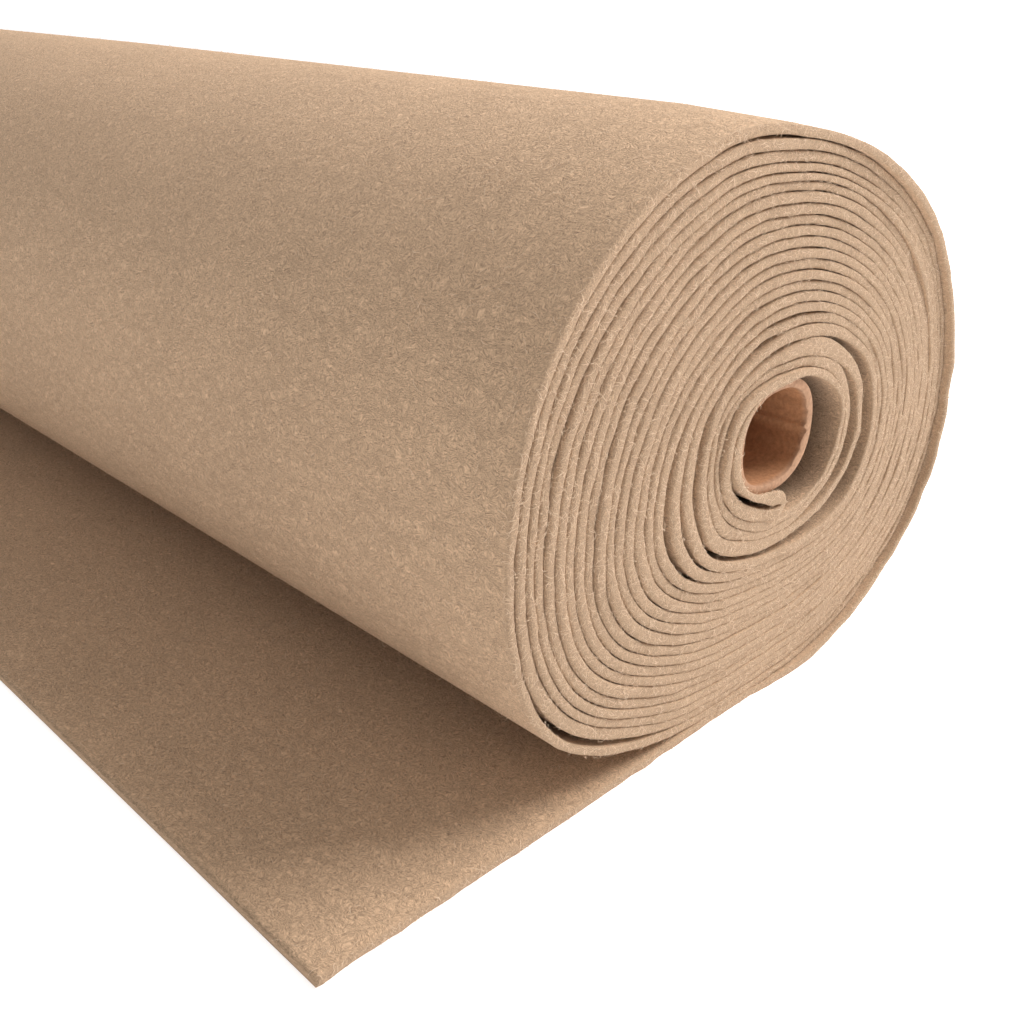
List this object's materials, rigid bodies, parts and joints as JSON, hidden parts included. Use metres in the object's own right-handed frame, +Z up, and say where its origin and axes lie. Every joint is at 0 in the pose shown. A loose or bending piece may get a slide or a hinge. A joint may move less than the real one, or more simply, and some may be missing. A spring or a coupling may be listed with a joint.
{
  "type": "felt roll",
  "caption": "Roll of thick felt wound on a cardboard tube, resting on the floor with its loose end drawn out flat.",
  "frame": {"origin": "on the floor under the middle of the roll, at half its length", "axes": "+X along the roll, +Z up, the loose end lies towards -Y"},
  "size_m": [1.22, 0.4959, 0.3211],
  "materials": {
    "felt": "matt needled felt with a soft fibrous face",
    "cardboard": "matt brown tube board"
  },
  "bodies": {
    "root": {"wound_felt": "felt", "loose_end": "felt", "core_tube": "cardboard"}
  },
  "joints": []
}
